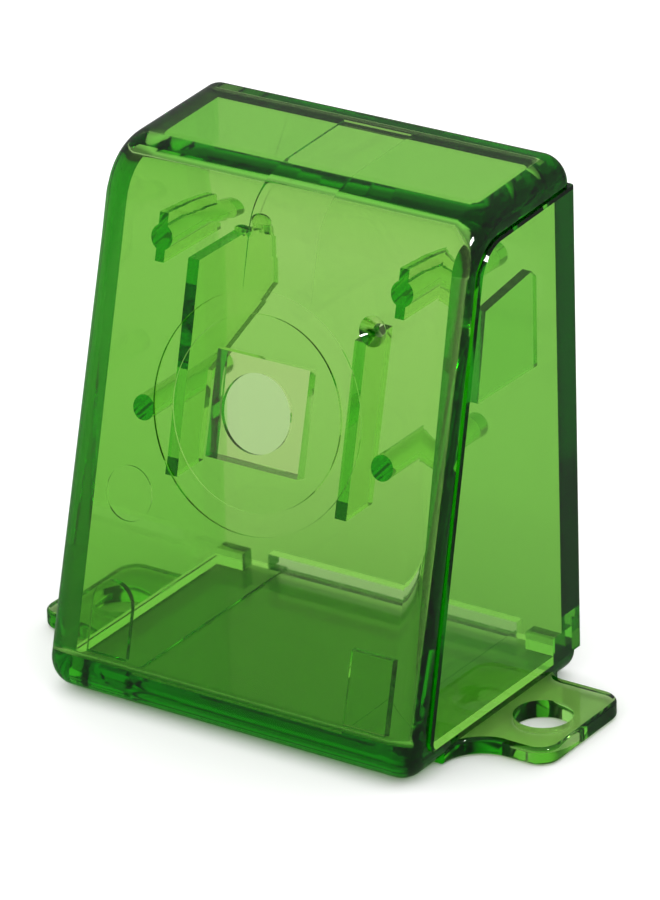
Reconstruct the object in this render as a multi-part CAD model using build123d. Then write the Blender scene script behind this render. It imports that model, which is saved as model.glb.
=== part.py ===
from build123d import *
import math
import os

# Clear two-part snap enclosure for a small camera board, with two screw ears.
#
# Millimetres, +Z up.  The front faces -Y and leans back.  The origin lies on the
# underside of the base, half way between the two ear holes.
#
# The front shell is C-shaped from the side: base, leaning front and top in one
# moulding.  The rear shell is U-shaped from above: the back wall and both sides.
# It is pushed in from behind, between the base and the top.

# ---- enclosure outline, seen from the side ----
REAR_Y = 9.85            # outer face of the back wall
FRONT_Y = -14.2          # outer front face where it meets the resting plane
FRONT_LEAN = 14.7        # lean of the outer front face, degrees from upright
TOP_REAR_Z = 41.5        # top face at the back
TOP_PITCH = 3.4          # fall of the top towards the front, degrees
BEND_R = 5.0             # outer bend between front and top
TOE_R = 2.4              # outer edge between front and underside

# ---- opening that the rear shell fills, seen from the side ----
BASE_T = 2.0             # base plate thickness
TOP_T = 2.15             # top wall thickness
CAVITY_FRONT_Y = -11.15  # inner front face at the floor
CAVITY_LEAN = 13.2       # lean of the inner front face, degrees
CAVITY_BEND_R = 3.2      # inner bend between front and top
CAVITY_TOE_R = 0.8       # inner edge between front and floor

# ---- width ----
HALF_W = 16.4            # half width of the front shell at the resting plane
SIDE_STEP = 0.35         # the rear shell's sides stand out this far beyond the front shell
SIDE_DRAFT = 0.46        # each side leans in by this angle, degrees
RIM_R = 2.0              # rounding of the front shell's side edges
TOP_REAR_R = 0.6         # rounding of the top wall's rear edge
REAR_END_GAP = 0.2       # the front shell stops this far short of the back face

# ---- rear shell ----
SIDE_T = 2.1             # side wall thickness, its step not counted
BACK_T = 1.45            # back wall thickness
SEAM = 0.12              # gap between the two shells
SEAM_CHAMFER = 0.18      # broken edge along the seam
BACK_EDGE_R = 0.5        # upright outer corners of the back wall
SLOT_HALF_W = 10.3       # half width of the ribbon cable slot
SLOT_H = 1.3             # height of the ribbon cable slot
LUG_X = 13.1             # centre of each locating lug on the back wall
LUG_W = 2.5
LUG_H = 1.4
LUG_D = 1.2              # reach of each lug into the enclosure
PAD_T = 0.4              # height of the raised pads inside the front
SIDE_PAD_T = 0.8         # height of the raised pad inside the right-hand side
SIDE_PAD = [(-2.3, 26.3), (5.7, 26.3), (5.8, 33.3), (5.2, 33.9), (-1.0, 33.0)]  # (y, z) corners
OVERLAP = 0.5            # depth to which an added feature is sunk into its wall

# ---- screw ears ----
EAR_T = 1.4
EAR_ROOT_X = 12.4        # the ear's plate starts here, inside the base plate
EAR_WALL_X = 16.1        # the necks end here, just inside the base plate's side
EAR_TIP_X = 22.95
EAR_FRONT_Y = -5.1
EAR_REAR_Y = 5.75
EAR_CORNER_R = 1.7
EAR_NECK_FRONT_R = 3.2
EAR_NECK_REAR_R = 1.5
EAR_HOLE_X = 19.4
EAR_HOLE_R = 2.25
EAR_EDGE_R = 0.3

# ---- camera board seat ----
BOARD_PIN_DX = 10.5      # half of the 21 mm hole spacing
BOARD_PIN_LOW_Z = 21.8   # lower pair of pins
BOARD_PIN_RISE = 12.5    # upper pair above the lower pair
PIN_R = 0.95
PIN_LEN = 9.6            # along Y from the inner front face
SHOULDER_LEN = 6.8       # finned length of the upper pins
FIN_T = 0.8
FIN_H = 3.6              # the fins reach half of this above and below the pin's axis

# ---- lens window ----
LENS_Z = 24.1
LENS_HOLE_R = 3.0
POCKET = 8.1             # square seat for the lens block, cut from inside
POCKET_WEB = 0.35        # wall left in front of the seat

# ---- moulded relief ----
RING_RELIEF = 0.2        # depth of the ring round the lens, on the outer face
RING_OUT_R = 9.05
RING_IN_R = 7.3
STRIP_RELIEF = 0.15      # depth of the strip inside the top and the front
STRIP_HALF_W = 3.0
STRIP_FADE_Z = 38.0      # below this the strip gets shallower
STRIP_END_Z = 31.5       # here it has run out
STRIP_REAR_Y = 8.9       # its end at the back of the top

# ---- lamp hole and ribs of the front ----
LAMP_X = 9.0
LAMP_Z = 31.85
LAMP_SINK_R = 1.15       # countersink at the outer face
LAMP_SINK_D = 0.9
LAMP_HOLE_R = 0.5
RIB_X = 7.5
RIB_T = 1.0
RIB_BASE_Z = 17.4
RIB_TOP_Z = 30.3
RIB_D = 3.4              # reach of the rib from the inner front face
GUSSET_LOW_Z = 24.0      # the gusset's lower edge leaves the rib's line here
GUSSET_TOP_Z = 33.3
GUSSET_BACK_Y = 5.8
GUSSET_BACK_Z = 27.4
POST_R = 0.75            # domed post at the gusset's rear top corner
POST_TOP_Z = 33.8        # centre of its dome
POST_LEN = 1.6
BEAD_R = 0.75
BEAD_Y = 2.6             # bead on the gusset's top edge

# ---- small marks ----
EJECTOR_R = 2.05
EJECTOR_X = -10.95
EJECTOR_Z = 15.35
EJECTOR_T = 0.12
FLOOR_FIELD_HALF_W = 9.4 # shallow field in the floor
FLOOR_FIELD_T = 0.15
CORNER_PAD_X = 11.5
CORNER_PAD_W = 3.6
CORNER_PAD_H = 5.6
ARCHED_PAD_Z = 3.0       # lower edge of the arched pad on the left
SQUARE_PAD_Z = 2.8       # lower edge of the square pad on the right

# ---- helpers' sizes ----
WIDE = 80.0              # safely larger than the enclosure
TALL = 120.0
THROUGH = 6.0            # reach of a cutter, longer than any wall is thick
PAST = 1.0               # the layers that cut the cavity run this far past its rear
NEAR = 0.1               # faces and edges are told apart within this distance
HAIR = 0.01              # a full round stops this far short of half the width


def tan_deg(angle):
    """Tangent of an angle in degrees."""
    return math.tan(math.radians(angle))


def outer_front_y(z):
    """Y of the outer front face at height z."""
    return FRONT_Y + z * tan_deg(FRONT_LEAN)


def inner_front_y(z):
    """Y of the inner front face at height z."""
    return CAVITY_FRONT_Y + (z - BASE_T) * tan_deg(CAVITY_LEAN)


def side_x(z):
    """Half width of the enclosure at height z."""
    return HALF_W - z * tan_deg(SIDE_DRAFT)


def meet(front_y0, lean, top_z0):
    """Corner where a leaning front line meets the pitched top line."""
    pitch = tan_deg(TOP_PITCH)
    slope = tan_deg(lean)
    z = (top_z0 - pitch * (REAR_Y - front_y0)) / (1 - pitch * slope)
    return front_y0 + z * slope, z


def rounded_profile(points, radii):
    """Face in the side view whose corners are rounded where a radius is given."""
    face = Plane.YZ * make_face(Polyline(*points, close=True))
    for (y, z), radius in zip(points, radii):
        if radius:
            corner = min(face.vertices(), key=lambda v: abs(v.Y - y) + abs(v.Z - z))
            face = fillet(corner, radius)
    return face


def prism(face, half_width):
    """Side-view face extruded to both sides."""
    return extrude(face, amount=half_width, both=True)


def outer_prism(inset):
    """Solid of the outer side profile, moved in by inset on the front and top."""
    front = FRONT_Y + inset / math.cos(math.radians(FRONT_LEAN))
    top = TOP_REAR_Z - inset / math.cos(math.radians(TOP_PITCH))
    back = REAR_Y - REAR_END_GAP
    corner_y, corner_z = meet(front, FRONT_LEAN, top)
    points = [(back, 0), (front, 0), (corner_y, corner_z), (back, top)]
    return prism(rounded_profile(points, [0, TOE_R, BEND_R - inset, 0]), WIDE)


def cavity_prism(gap, half_width, rear_y):
    """Solid of the opening between base, front and top, shrunk by gap."""
    cos_lean = math.cos(math.radians(CAVITY_LEAN))
    front = CAVITY_FRONT_Y - BASE_T * tan_deg(CAVITY_LEAN) + gap / cos_lean
    top = TOP_REAR_Z - (TOP_T + gap) / math.cos(math.radians(TOP_PITCH))
    floor = BASE_T + gap
    corner_y, corner_z = meet(front, CAVITY_LEAN, top)
    toe_y = front + floor * tan_deg(CAVITY_LEAN)
    rear_top = top + (rear_y - REAR_Y) * tan_deg(TOP_PITCH)
    points = [(rear_y, floor), (toe_y, floor), (corner_y, corner_z), (rear_y, rear_top)]
    radii = [0, CAVITY_TOE_R - gap, CAVITY_BEND_R - gap, 0]
    return prism(rounded_profile(points, radii), half_width)


def drafted_block(inset):
    """Block whose sides lean in with height, moved in by inset on each side."""
    bottom = side_x(0) - inset
    top = side_x(TALL) - inset
    outline = [(-bottom, 0), (bottom, 0), (top, TALL), (-top, TALL)]
    face = Plane.XZ * make_face(Polyline(*outline, close=True))
    return extrude(face, amount=WIDE, both=True)


def box_between(low, high):
    """Box from its low corner to its high corner."""
    size = [b - a for a, b in zip(low, high)]
    centre = [(a + b) / 2 for a, b in zip(low, high)]
    return Pos(*centre) * Box(*size)


def rod(x, z, radius, y_start, y_end):
    """Round rod along Y."""
    length = y_end - y_start
    return Pos(x, (y_start + y_end) / 2, z) * Rot(90, 0, 0) * Cylinder(radius, length)


def symmetric(block):
    """Right-hand treatment of a block, carried over to the left."""
    return block & mirror(block, Plane.YZ)


def right_edges(block):
    """Edges that run round the right-hand side face, the rear end left out."""
    return [e for e in block.edges()
            if e.center().X > side_x(e.center().Z) - NEAR and e.center().Y < REAR_Y - PAST]


# ---- front shell ----

def front_blank():
    """Outer block of the front shell with its rounded side edges."""
    block = outer_prism(0) & drafted_block(0)
    block = symmetric(fillet(right_edges(block), RIM_R))
    rear_top = [e for e in block.edges().filter_by(Axis.X)
                if e.center().Y > REAR_Y - PAST and e.center().Z > TOP_REAR_Z - TOP_T]
    return fillet(rear_top, TOP_REAR_R)


def is_upright(edge):
    """True for an edge that runs along Z."""
    return abs(edge.tangent_at(0.5).Z) > 0.9


def ear_outline():
    """Plan view of one screw ear, with necks that sweep into the side of the base."""
    neck_front = EAR_FRONT_Y - EAR_NECK_FRONT_R
    neck_rear = EAR_REAR_Y + EAR_NECK_REAR_R
    points = [(EAR_ROOT_X, neck_front), (EAR_WALL_X, neck_front), (EAR_WALL_X, EAR_FRONT_Y),
              (EAR_TIP_X, EAR_FRONT_Y), (EAR_TIP_X, EAR_REAR_Y), (EAR_WALL_X, EAR_REAR_Y),
              (EAR_WALL_X, neck_rear), (EAR_ROOT_X, neck_rear)]
    radii = [0, 0, EAR_NECK_FRONT_R - HAIR, EAR_CORNER_R,
             EAR_CORNER_R, EAR_NECK_REAR_R - HAIR, 0, 0]
    face = make_face(Polyline(*points, close=True))
    for (x, y), radius in zip(points, radii):
        if radius:
            corner = min(face.vertices(), key=lambda v: abs(v.X - x) + abs(v.Y - y))
            face = fillet(corner, radius)
    return face


def ear(side):
    """Screw ear on the right for side 1 and on the left for -1."""
    plate = extrude(ear_outline(), amount=EAR_T)
    tip_rims = [e for e in plate.edges() if e.center().X > HALF_W and not is_upright(e)]
    plate = fillet(tip_rims, EAR_EDGE_R)
    plate -= Pos(EAR_HOLE_X, 0, EAR_T / 2) * Cylinder(EAR_HOLE_R, THROUGH)
    return plate if side > 0 else mirror(plate, Plane.YZ)


def on_front(x, z):
    """Plane on the outer front face that looks out of it."""
    lean = math.radians(FRONT_LEAN)
    return Plane(origin=(x, outer_front_y(z), z), x_dir=(1, 0, 0),
                 z_dir=(0, -math.cos(lean), math.sin(lean)))


def lens_cylinder(radius, reach):
    """Cylinder square to the outer front face, centred on the lens."""
    return on_front(0, LENS_Z) * Cylinder(radius, 2 * reach)


def lens_ring():
    """Shallow ring recess round the lens hole, on the outer face."""
    skin = outer_prism(-1) - outer_prism(RING_RELIEF)
    return skin & (lens_cylinder(RING_OUT_R, THROUGH) - lens_cylinder(RING_IN_R, THROUGH + PAST))


def strip_reach():
    """Space behind a slanted face, where the strip's depth fades down the front."""
    fade_y = inner_front_y(STRIP_FADE_Z) - 2 * STRIP_RELIEF
    outline = [(inner_front_y(STRIP_END_Z), STRIP_END_Z), (fade_y, STRIP_FADE_Z),
               (-WIDE, STRIP_FADE_Z), (-WIDE, TALL),
               (STRIP_REAR_Y, TALL), (STRIP_REAR_Y, STRIP_END_Z)]
    face = Plane.YZ * make_face(Polyline(*outline, close=True))
    return prism(face, STRIP_HALF_W)


def inner_strip():
    """Shallow recess inside, from the back of the top down the front."""
    skin = cavity_prism(-STRIP_RELIEF, WIDE, REAR_Y) - cavity_prism(0, WIDE, REAR_Y + PAST)
    return skin & strip_reach()


def lens_window():
    """Round lens hole with the square seat behind it."""
    hole = lens_cylinder(LENS_HOLE_R, THROUGH)
    block = Box(POCKET, POCKET, THROUGH)
    seat = on_front(0, LENS_Z) * Pos(0, 0, -POCKET_WEB - THROUGH / 2) * block
    return hole + seat


def lamp_hole():
    """Small countersunk hole square to the front face."""
    front = on_front(LAMP_X, LAMP_Z)
    sink = front * Pos(0, 0, -LAMP_SINK_D / 2) * Cone(LAMP_HOLE_R, LAMP_SINK_R, LAMP_SINK_D)
    return sink + front * Cylinder(LAMP_HOLE_R, 2 * THROUGH)


def board_pins():
    """Four pins that the camera board's holes slide over; the upper two have fins."""
    pins = Part()
    for side in (-1, 1):
        for rise in (0, BOARD_PIN_RISE):
            z = BOARD_PIN_LOW_Z + rise
            root = inner_front_y(z)
            pins += rod(side * BOARD_PIN_DX, z, PIN_R, root - OVERLAP, root + PIN_LEN)
            if rise:
                low = (side * BOARD_PIN_DX - FIN_T / 2, root - OVERLAP, z - FIN_H / 2)
                high = (side * BOARD_PIN_DX + FIN_T / 2, root + SHOULDER_LEN, z + FIN_H / 2)
                pins += box_between(low, high)
    return pins


def upright_plate(x, thickness, outline):
    """Plate parallel to the sides, from a list of (y, z) corners."""
    face = Plane.YZ * make_face(Polyline(*outline, close=True))
    return Pos(x, 0, 0) * prism(face, thickness / 2)


def ribs():
    """Low rib on the right and deep gusset on the left of the lens seat."""
    foot = [(inner_front_y(RIB_BASE_Z) - OVERLAP, RIB_BASE_Z),
            (inner_front_y(RIB_BASE_Z) + RIB_D, RIB_BASE_Z)]
    right = foot + [(inner_front_y(RIB_TOP_Z) + RIB_D, RIB_TOP_Z),
                    (inner_front_y(RIB_TOP_Z) - OVERLAP, RIB_TOP_Z)]
    left = foot + [(inner_front_y(GUSSET_LOW_Z) + RIB_D, GUSSET_LOW_Z),
                   (GUSSET_BACK_Y, GUSSET_BACK_Z),
                   (GUSSET_BACK_Y, GUSSET_TOP_Z),
                   (inner_front_y(GUSSET_TOP_Z) - OVERLAP, GUSSET_TOP_Z)]
    plates = upright_plate(RIB_X, RIB_T, right) + upright_plate(-RIB_X, RIB_T, left)
    post_y = GUSSET_BACK_Y - POST_R
    post = Pos(-RIB_X, post_y, POST_TOP_Z - POST_LEN / 2) * Cylinder(POST_R, POST_LEN)
    dome = Pos(-RIB_X, post_y, POST_TOP_Z) * Sphere(POST_R)
    bead = Pos(-RIB_X, BEAD_Y, GUSSET_TOP_Z) * Sphere(BEAD_R)
    return plates + post + dome + bead


def inner_front_pad(x, z_low, arched):
    """Raised pad on the inner front face, with a round top if arched."""
    half = CORNER_PAD_W / 2
    box = box_between((x - half, -WIDE, z_low), (x + half, WIDE, z_low + CORNER_PAD_H))
    if arched:
        top = [e for e in box.edges().filter_by(Axis.Y) if e.center().Z > z_low + PAST]
        box = fillet(top, half - HAIR)
    layer = cavity_prism(0, WIDE, REAR_Y) - cavity_prism(PAD_T, WIDE, REAR_Y + PAST)
    front_half = box_between((-WIDE, -WIDE, 0), (WIDE, 0, TALL))
    return box & layer & front_half


def ejector_mark():
    """Round mark inside the front wall, left by the mould's ejector."""
    skin = cavity_prism(-EJECTOR_T, WIDE, REAR_Y) - cavity_prism(0, WIDE, REAR_Y + PAST)
    return skin & rod(EJECTOR_X, EJECTOR_Z, EJECTOR_R, FRONT_Y, 0)


def floor_field():
    """Shallow recess in the floor that runs out at the back."""
    front = CAVITY_FRONT_Y + CAVITY_TOE_R
    low = (-FLOOR_FIELD_HALF_W, front, BASE_T - FLOOR_FIELD_T)
    return box_between(low, (FLOOR_FIELD_HALF_W, REAR_Y + PAST, BASE_T + NEAR))


def front_shell():
    """Base with ears, leaning front and top in one moulding."""
    shell = front_blank() - cavity_prism(0, WIDE, REAR_Y + THROUGH)
    shell += ear(1)
    shell += ear(-1)
    shell -= lens_ring()
    shell -= inner_strip()
    shell -= ejector_mark()
    shell -= floor_field()
    shell += board_pins()
    shell += ribs()
    shell -= lamp_hole()
    shell -= lens_window()
    shell += inner_front_pad(-CORNER_PAD_X, ARCHED_PAD_Z, True)
    shell += inner_front_pad(CORNER_PAD_X, SQUARE_PAD_Z, False)
    return shell


# ---- rear shell ----

def side_pad():
    """Raised field on the inner face of the right-hand side wall."""
    face = Plane.YZ * make_face(Polyline(*SIDE_PAD, close=True))
    slab = prism(face, WIDE)
    layer = drafted_block(SIDE_T - OVERLAP) - drafted_block(SIDE_T + SIDE_PAD_T)
    right = box_between((0, -WIDE, 0), (WIDE, WIDE, TALL))
    return slab & layer & right


def locating_lugs():
    """Two lugs at the foot of the back wall that sit on the base plate."""
    lugs = Part()
    for side in (-1, 1):
        low = (side * LUG_X - LUG_W / 2, REAR_Y - BACK_T - LUG_D, BASE_T + SEAM)
        high = (side * LUG_X + LUG_W / 2, REAR_Y - BACK_T + OVERLAP, BASE_T + SEAM + LUG_H)
        lugs += box_between(low, high)
    return lugs


def rear_shell():
    """Back wall and both sides in one moulding, with the cable slot."""
    block = cavity_prism(SEAM, WIDE, REAR_Y) & drafted_block(-SIDE_STEP)
    block = symmetric(chamfer(right_edges(block), SEAM_CHAMFER))
    uprights = [e for e in block.edges() if is_upright(e) and e.center().Y > REAR_Y - NEAR]
    block = fillet(uprights, BACK_EDGE_R)
    inside = box_between((-WIDE, -WIDE, 0), (WIDE, REAR_Y - BACK_T, TALL)) & drafted_block(SIDE_T)
    shell = block - inside
    shell += side_pad()
    shell += locating_lugs()
    slot_low = (-SLOT_HALF_W, REAR_Y - BACK_T - THROUGH, 0)
    slot_high = (SLOT_HALF_W, REAR_Y + THROUGH, BASE_T + SEAM + SLOT_H)
    return shell - box_between(slot_low, slot_high)


def write_parts(parts):
    """One STEP file for each sub-part."""
    os.makedirs("parts", exist_ok=True)
    for name, shape in parts.items():
        export_step(shape, f"parts/{name}.step")


write_parts({
    "front_shell": front_shell(),
    "rear_shell": rear_shell(),
})
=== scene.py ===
# Clear green two-part enclosure for a small camera board: the looks.
#
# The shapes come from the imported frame.  Both shells are real solids with walls,
# so their plastic refracts at each face and takes most of its colour from its depth.
import math

import bpy
import numpy as np
from mathutils import Matrix, Vector


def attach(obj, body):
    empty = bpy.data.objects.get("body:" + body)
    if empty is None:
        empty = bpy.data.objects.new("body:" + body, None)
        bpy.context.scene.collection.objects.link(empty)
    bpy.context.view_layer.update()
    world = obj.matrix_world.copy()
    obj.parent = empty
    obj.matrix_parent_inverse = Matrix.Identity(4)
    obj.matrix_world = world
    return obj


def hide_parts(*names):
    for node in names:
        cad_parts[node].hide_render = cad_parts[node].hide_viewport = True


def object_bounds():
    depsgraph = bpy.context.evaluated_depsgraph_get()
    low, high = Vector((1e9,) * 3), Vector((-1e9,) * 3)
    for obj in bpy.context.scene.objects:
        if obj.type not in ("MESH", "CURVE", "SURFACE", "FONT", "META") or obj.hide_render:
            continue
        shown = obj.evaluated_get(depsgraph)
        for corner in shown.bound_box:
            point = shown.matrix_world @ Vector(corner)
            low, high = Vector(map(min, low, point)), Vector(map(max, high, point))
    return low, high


# ---- the plastic ----
PLASTIC_IOR = 1.53
PLASTIC_TINT = (0.335, 0.86, 0.02)   # colour that is left over in the plastic's depth
TINT_DENSITY = 400.0                 # absorption per metre
PLASTIC_SKIN = (0.97, 0.98, 0.75)    # light that gets through a wall, its depth aside
POLISH = 0.03                        # roughness of the polished faces
SCUFF = 0.10                         # roughness where the faces are rubbed
RUBBED_FROM = 0.52                   # noise level where the rubbing starts
RUBBED_FULL = 0.75                   # noise level where it is complete
RUBBED_SCALE = 420.0                 # the scales are cells per metre
FLOW_SCALE = 160.0
GRAIN_SCALE = 2400.0
FLOW_HEIGHT = 0.00004                # metres, before the bump's strength
GRAIN_HEIGHT = 0.000004
FLOW_STRENGTH = 0.12
GRAIN_STRENGTH = 0.08

# ---- smooth copies of the shells ----
STEPS = 4            # each curved triangle of the CAD mesh is cut into this many rows
WELD = 1e-8          # metres; points nearer than this are one
CREASE = 0.05        # sine of the angle from which an edge counts as sharp
BENT = 1e-7          # metres; an edge that bulges more than this is curved
TURNED = 1e-6        # 1 - cosine from which a face's corner normals differ
ALONG = 0.9          # cosine; a tangent that strays further from its edge isn't used
TINY = 1e-12         # keeps a zero vector from dividing by zero

# ---- the light: a bright sheet of paper in a dim room, and one soft box ----
PAPER_WHITE = 0.9
PAPER_ROUGHNESS = 0.9
PAPER_HALF = 3.0                     # metres from the middle to each side of the sheet
PAPER_GAP = 0.0001                   # metres from the sheet up to the object
PAPER_LIGHT = 1.5                    # light on the paper, as seen straight
PAPER_BEHIND = 0.82                  # light on the paper, as seen through the plastic
MIRRORED = 0.25                      # what the outer faces mirror
ROOM_LIGHT = 0.26                    # room, as seen through the plastic
BACKDROP_LIGHT = 0.8                 # its bright wall behind the object
BACKDROP_EDGE = (0.2, 0.6)           # share of +Y in a direction where the wall fades in
BACKDROP_TOP = (0.45, 0.7)           # share of +Z in a direction where it fades out
SIDE_BOX_PLACE = Vector((0.45, -0.08, 0.33))
SIDE_BOX_AIM = Vector((0.0, 0.0, 0.02))
SIDE_BOX_SIZE = 0.09                 # metres
SIDE_BOX_POWER = 1.2                 # watts
BOUNCES = 64                         # the light crosses many walls

# ---- the camera, seen from the front and a little above ----
CAMERA_AZIMUTH = 34.468
CAMERA_ELEVATION = 24.405
CAMERA_ROLL = -1.499
CAMERA_DISTANCE = 0.44226
CAMERA_LENS = 235.94                 # mm
CAMERA_FILM = 36.0                   # mm, the film's long side
CAMERA_NEAR = 0.01                   # metres; nearer things aren't drawn
AIM = Vector((0.0, 0.00985, 0.021))
AIM_RIGHT = 0.00457                  # the view is moved this far to the left of the aim
AIM_UP = 0.006085                    # and this far down


def unit(vectors):
    """Vectors scaled to length 1."""
    return vectors / np.maximum(np.linalg.norm(vectors, axis=-1, keepdims=True), TINY)


def dot(a, b):
    """Products of matching vectors, kept as a column."""
    return (a * b).sum(axis=-1, keepdims=True)


def weld(places):
    """(distinct points, number of its point for each place)."""
    keys = np.round(places.reshape(-1, 3) / WELD).astype(np.int64)
    _, first, number = np.unique(keys, axis=0, return_index=True, return_inverse=True)
    return places.reshape(-1, 3)[first], number.reshape(-1)


def read_triangles(mesh):
    """Corner places and exact corner normals of a triangle mesh, as (triangle, corner, xyz)."""
    place = np.empty(len(mesh.vertices) * 3, np.float32)
    mesh.vertices.foreach_get("co", place)
    corner = np.empty(len(mesh.loops), np.int32)
    mesh.loops.foreach_get("vertex_index", corner)
    normal = np.empty(len(mesh.loops) * 3, np.float32)
    mesh.corner_normals.foreach_get("vector", normal)
    places = place.reshape(-1, 3)[corner].reshape(-1, 3, 3).astype(float)
    return places, unit(normal.reshape(-1, 3, 3).astype(float))


def partners(places):
    """For each triangle side, the number of the matching side across it, and whether it has none."""
    _, number = weld(places)
    start = number.reshape(-1, 3)
    end = np.roll(start, -1, axis=1)
    count = number.max() + 1
    own = (start * count + end).reshape(-1)
    other = (end * count + start).reshape(-1)
    order = np.argsort(own, kind="stable")
    found = np.minimum(np.searchsorted(own[order], other), own.size - 1)
    partner = order[found]
    alone = own[partner] != other
    partner[alone] = np.nonzero(alone)[0]
    return partner, alone


def end_tangent(chord, mine, theirs):
    """Direction of a shared edge at one end, from the normals of the faces on its two sides."""
    across = np.cross(mine, theirs)
    along_crease = unit(across) * np.sign(dot(across, chord))
    normal = unit(mine + theirs)
    along_face = unit(chord - normal * dot(chord, normal))
    sharp = np.linalg.norm(across, axis=1, keepdims=True) > CREASE
    tangent = np.where(sharp, along_crease, along_face)
    agrees = dot(tangent, unit(chord)) > ALONG
    return np.where(agrees, tangent, unit(chord))


def side_curves(places, normals):
    """The two inner control points of every side's curve, and whether the side is split."""
    partner, alone = partners(places)
    start = places.reshape(-1, 3)
    end = np.roll(places, -1, axis=1).reshape(-1, 3)
    start_mine = normals.reshape(-1, 3)
    end_mine = np.roll(normals, -1, axis=1).reshape(-1, 3)
    start_theirs = np.where(alone[:, None], start_mine, end_mine[partner])
    end_theirs = np.where(alone[:, None], end_mine, start_mine[partner])
    chord = end - start
    third = np.linalg.norm(chord, axis=1, keepdims=True) / 3
    near = start + end_tangent(chord, start_mine, start_theirs) * third
    far = end - end_tangent(chord, end_mine, end_theirs) * third
    near_bulge = np.linalg.norm(near - start - chord / 3, axis=1)
    far_bulge = np.linalg.norm(far - end + chord / 3, axis=1)
    bulge = near_bulge + far_bulge
    round_side = np.repeat(face_is_round(normals), 3)
    split = (bulge > BENT) | round_side | round_side[partner]
    return near.reshape(-1, 3, 3), far.reshape(-1, 3, 3), split.reshape(-1, 3)


def face_is_round(normals):
    """True for each triangle whose corner normals differ."""
    turned = 1 - dot(normals, np.roll(normals, 1, axis=1))
    return turned.reshape(-1, 3).max(axis=1) > TURNED


def row_grid():
    """Weights of a triangle's three corners at each point of its rows, and the small triangles."""
    number = {}
    weights = []
    for i in range(STEPS + 1):
        for j in range(STEPS + 1 - i):
            number[i, j] = len(weights)
            weights.append(((STEPS - i - j) / STEPS, i / STEPS, j / STEPS))
    small = []
    for i, j in number:
        if i + j < STEPS:
            small.append((number[i, j], number[i + 1, j], number[i, j + 1]))
        if i + j < STEPS - 1:
            small.append((number[i + 1, j], number[i + 1, j + 1], number[i, j + 1]))
    return np.array(weights), np.array(small)


def curved_patches(places, normals, near, far):
    """Points and normals on the cubic patch over each round triangle, and its small triangles."""
    weights, small = row_grid()
    u, v, w = (weights[:, k][None, :, None] for k in range(3))
    corner = [places[:, k][:, None, :] for k in range(3)]
    side_near = [near[:, k][:, None, :] for k in range(3)]
    side_far = [far[:, k][:, None, :] for k in range(3)]
    ring = sum(side_near + side_far) / 6
    middle = ring + (ring - sum(corner) / 3) / 2
    points = corner[0] * u ** 3 + corner[1] * v ** 3 + corner[2] * w ** 3
    points = points + 3 * (side_near[0] * u * u * v + side_far[0] * u * v * v)
    points = points + 3 * (side_near[1] * v * v * w + side_far[1] * v * w * w)
    points = points + 3 * (side_near[2] * w * w * u + side_far[2] * w * u * u)
    points = points + 6 * middle * u * v * w
    bent = unit(sum(normals[:, k][:, None, :] * x for k, x in enumerate((u, v, w))))
    return points, bent, small


def side_points(start, near, far, end):
    """Points between the two ends of one curved side."""
    inner = []
    for step in range(1, STEPS):
        t = step / STEPS
        s = 1 - t
        inner.append(start * s ** 3 + near * 3 * s * s * t + far * 3 * s * t * t + end * t ** 3)
    return inner


def smooth_copy(node, name):
    """Copy of a CAD shell whose curved faces follow their exact normals, not flat facets.

    The corners keep their places.  Flat triangles stay whole and take in the points
    that a round neighbour adds to a shared side, so the copy is closed like the shell.
    Nothing leaves the shell's own box.
    """
    places, normals = read_triangles(node.data)
    near, far, split = side_curves(places, normals)
    is_round = face_is_round(normals)
    points, bent, small = curved_patches(places[is_round], normals[is_round],
                                         near[is_round], far[is_round])
    soup = [points.reshape(-1, 3)]
    first = np.arange(len(points))[:, None, None] * points.shape[1]
    faces = (first + small[None]).reshape(-1, 3).tolist()
    loop_normals = bent[:, small.reshape(-1)].reshape(-1, 3).tolist()
    filled = points.shape[0] * points.shape[1]
    for index in np.nonzero(~is_round)[0]:
        outline = []
        for side in range(3):
            start = places[index, side]
            outline.append(start)
            if split[index, side]:
                end = places[index, (side + 1) % 3]
                outline.extend(side_points(start, near[index, side], far[index, side], end))
        soup.append(np.array(outline))
        faces.append(list(range(filled, filled + len(outline))))
        loop_normals.extend([normals[index, 0].tolist()] * len(outline))
        filled += len(outline)
    vertices, number = weld(np.concatenate(soup))
    vertices = np.clip(vertices, places.min(axis=(0, 1)), places.max(axis=(0, 1)))
    mesh = bpy.data.meshes.new(name)
    corners = [[int(number[k]) for k in face] for face in faces]
    mesh.from_pydata(vertices.tolist(), [], corners)
    mesh.shade_smooth()
    mesh.normals_split_custom_set(loop_normals)
    piece = bpy.data.objects.new(name, mesh)
    bpy.context.scene.collection.objects.link(piece)
    return piece


def node_tree(material):
    """Empty node tree of a material, ready to fill."""
    material.use_nodes = True
    material.node_tree.nodes.clear()
    return material.node_tree


def add(tree, kind, **values):
    """New node with its properties or unlinked inputs set by name."""
    node = tree.nodes.new(kind)
    for name, value in values.items():
        label = name.replace("_", " ")
        if label in node.inputs:
            node.inputs[label].default_value = value
        else:
            setattr(node, name, value)
    return node


def map_range(tree, low, high, to_low, to_high):
    """Map Range node with its four limits."""
    return add(tree, "ShaderNodeMapRange",
               From_Min=low, From_Max=high, To_Min=to_low, To_Max=to_high)


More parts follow.
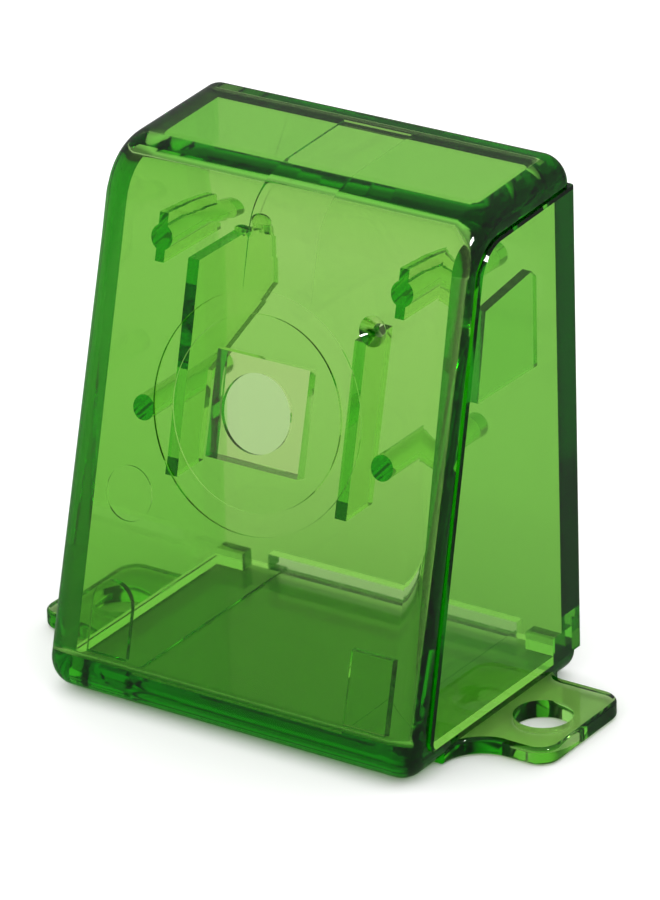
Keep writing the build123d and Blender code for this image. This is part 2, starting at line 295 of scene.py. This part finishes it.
def clear_plastic(name):
    """Polished see-through plastic with most of its tint in the depth of the wall."""
    material = bpy.data.materials.new(name)
    tree = node_tree(material)
    links = tree.links
    output = add(tree, "ShaderNodeOutputMaterial")
    shader = add(tree, "ShaderNodeBsdfPrincipled")
    shader.inputs["Base Color"].default_value = (*PLASTIC_SKIN, 1.0)
    shader.inputs["IOR"].default_value = PLASTIC_IOR
    shader.inputs["Transmission Weight"].default_value = 1.0
    depth = add(tree, "ShaderNodeVolumeAbsorption")
    depth.inputs["Color"].default_value = (*PLASTIC_TINT, 1.0)
    depth.inputs["Density"].default_value = TINT_DENSITY
    place = add(tree, "ShaderNodeTexCoord")
    # rubbed patches: the polish is a little duller where a noise is high
    rubbed = add(tree, "ShaderNodeTexNoise", Scale=RUBBED_SCALE, Detail=5.0, Roughness=0.6)
    rubbed_range = map_range(tree, RUBBED_FROM, RUBBED_FULL, POLISH, SCUFF)
    # flow of the moulded face: long slow waves, and a fine grain on top of them
    flow = add(tree, "ShaderNodeTexNoise", Scale=FLOW_SCALE, Detail=2.0, Roughness=0.4)
    grain = add(tree, "ShaderNodeTexNoise", Scale=GRAIN_SCALE, Detail=3.0, Roughness=0.5)
    flow_bump = add(tree, "ShaderNodeBump", Strength=FLOW_STRENGTH, Distance=FLOW_HEIGHT)
    grain_bump = add(tree, "ShaderNodeBump", Strength=GRAIN_STRENGTH, Distance=GRAIN_HEIGHT)
    for texture in (rubbed, flow, grain):
        links.new(place.outputs["Object"], texture.inputs["Vector"])
    links.new(rubbed.outputs["Fac"], rubbed_range.inputs["Value"])
    links.new(rubbed_range.outputs["Result"], shader.inputs["Roughness"])
    links.new(flow.outputs["Fac"], flow_bump.inputs["Height"])
    links.new(grain.outputs["Fac"], grain_bump.inputs["Height"])
    links.new(flow_bump.outputs["Normal"], grain_bump.inputs["Normal"])
    links.new(grain_bump.outputs["Normal"], shader.inputs["Normal"])
    links.new(shader.outputs["BSDF"], output.inputs["Surface"])
    links.new(depth.outputs["Volume"], output.inputs["Volume"])
    return material


def plain_floor_material():
    """Matt white paper."""
    material = bpy.data.materials.new("studio_paper")
    tree = node_tree(material)
    output = add(tree, "ShaderNodeOutputMaterial")
    shader = add(tree, "ShaderNodeBsdfPrincipled",
                 Roughness=PAPER_ROUGHNESS, Specular_IOR_Level=0.0)
    shader.inputs["Base Color"].default_value = (PAPER_WHITE, PAPER_WHITE, PAPER_WHITE, 1.0)
    tree.links.new(shader.outputs["BSDF"], output.inputs["Surface"])
    return material


def studio_floor(low_z):
    """Large white sheet that the object stands on."""
    mesh = bpy.data.meshes.new("studio_floor")
    corners = [(x * PAPER_HALF, y * PAPER_HALF, low_z)
               for x, y in ((-1, -1), (1, -1), (1, 1), (-1, 1))]
    mesh.from_pydata(corners, [], [(0, 1, 2, 3)])
    floor = bpy.data.objects.new("studio_floor", mesh)
    bpy.context.scene.collection.objects.link(floor)
    mesh.materials.append(plain_floor_material())


def side_box():
    """Square soft box beside the object, for the bright glints; it doesn't light the paper."""
    data = bpy.data.lights.new("side_box", "AREA")
    data.size = SIDE_BOX_SIZE
    data.energy = SIDE_BOX_POWER
    lamp = bpy.data.objects.new("side_box", data)
    lamp.location = SIDE_BOX_PLACE
    lamp.rotation_euler = (SIDE_BOX_AIM - SIDE_BOX_PLACE).to_track_quat("-Z", "Y").to_euler()
    lamp.visible_diffuse = False
    bpy.context.scene.collection.objects.link(lamp)


def studio_room():
    """Dim room with a bright back wall, and an even light on the paper.

    A ray that went through the plastic sees the room, or the paper as it is lit there.
    Any other ray sees the bright paper, or the dim mirror image in the outer faces.
    """
    world = bpy.data.worlds.new("studio_room")
    bpy.context.scene.world = world
    world.cycles.sampling_method = "NONE"
    tree = node_tree(world)
    output = add(tree, "ShaderNodeOutputWorld")
    room = add(tree, "ShaderNodeBackground")
    room.inputs["Color"].default_value = (1.0, 1.0, 1.0, 1.0)
    direction = add(tree, "ShaderNodeTexCoord")
    axes = add(tree, "ShaderNodeSeparateXYZ")
    behind = map_range(tree, *BACKDROP_EDGE, 0.0, 1.0)
    low = map_range(tree, *BACKDROP_TOP, 1.0, 0.0)
    backdrop = add(tree, "ShaderNodeMath", operation="MULTIPLY")
    level = map_range(tree, 0.0, 1.0, ROOM_LIGHT, BACKDROP_LIGHT)
    path = add(tree, "ShaderNodeLightPath")
    outside = map_range(tree, 0.0, 1.0, PAPER_LIGHT, MIRRORED)
    through = map_range(tree, 0.0, 1.0, ROOM_LIGHT, PAPER_BEHIND)
    seen = map_range(tree, 0.0, 1.0, PAPER_LIGHT, PAPER_BEHIND)
    links = tree.links
    links.new(direction.outputs["Generated"], axes.inputs["Vector"])
    links.new(axes.outputs["Y"], behind.inputs["Value"])
    links.new(axes.outputs["Z"], low.inputs["Value"])
    links.new(behind.outputs["Result"], backdrop.inputs[0])
    links.new(low.outputs["Result"], backdrop.inputs[1])
    links.new(backdrop.outputs["Value"], level.inputs["Value"])
    links.new(path.outputs["Glossy Depth"], outside.inputs["Value"])
    links.new(path.outputs["Diffuse Depth"], through.inputs["Value"])
    links.new(path.outputs["Transmission Depth"], seen.inputs["Value"])
    links.new(level.outputs["Result"], through.inputs["To Min"])
    links.new(outside.outputs["Result"], seen.inputs["To Min"])
    links.new(through.outputs["Result"], seen.inputs["To Max"])
    links.new(seen.outputs["Result"], room.inputs["Strength"])
    links.new(room.outputs["Background"], output.inputs["Surface"])


def studio_camera():
    """Long lens at the viewing angle, with its slight roll."""
    azimuth = math.radians(CAMERA_AZIMUTH)
    elevation = math.radians(CAMERA_ELEVATION)
    roll = math.radians(CAMERA_ROLL)
    back = Vector((math.sin(azimuth) * math.cos(elevation),
                   -math.cos(azimuth) * math.cos(elevation),
                   math.sin(elevation)))
    level_right = Vector((math.cos(azimuth), math.sin(azimuth), 0.0))
    level_up = back.cross(level_right)
    right = level_right * math.cos(roll) + level_up * math.sin(roll)
    up = level_up * math.cos(roll) - level_right * math.sin(roll)
    data = bpy.data.cameras.new("studio_camera")
    data.lens = CAMERA_LENS
    data.sensor_width = CAMERA_FILM
    data.clip_start = CAMERA_NEAR
    camera = bpy.data.objects.new("studio_camera", data)
    turn = Matrix((right, up, back)).transposed().to_4x4()
    place = AIM + back * CAMERA_DISTANCE - right * AIM_RIGHT - up * AIM_UP
    camera.matrix_world = Matrix.Translation(place) @ turn
    bpy.context.scene.collection.objects.link(camera)
    bpy.context.scene.camera = camera


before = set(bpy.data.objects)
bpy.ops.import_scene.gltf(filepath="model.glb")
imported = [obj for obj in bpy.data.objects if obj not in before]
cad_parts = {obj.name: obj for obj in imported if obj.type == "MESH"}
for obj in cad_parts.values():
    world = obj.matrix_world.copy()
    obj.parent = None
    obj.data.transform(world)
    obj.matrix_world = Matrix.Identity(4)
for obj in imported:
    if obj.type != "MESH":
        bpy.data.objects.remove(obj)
cad_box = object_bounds()

plastic = clear_plastic("clear_green_plastic")
for body, shell in (("front", "front_shell"), ("rear", "rear_shell")):
    piece = smooth_copy(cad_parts[shell], shell + "_smooth")
    piece.data.materials.append(plastic)
    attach(piece, body)
    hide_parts(shell)

studio_floor(cad_box[0][2] - PAPER_GAP)
studio_room()
side_box()
studio_camera()
bpy.context.scene.view_settings.view_transform = "Standard"
bpy.context.scene.cycles.max_bounces = BOUNCES
bpy.context.scene.cycles.transmission_bounces = BOUNCES
bpy.context.scene.cycles.glossy_bounces = BOUNCES
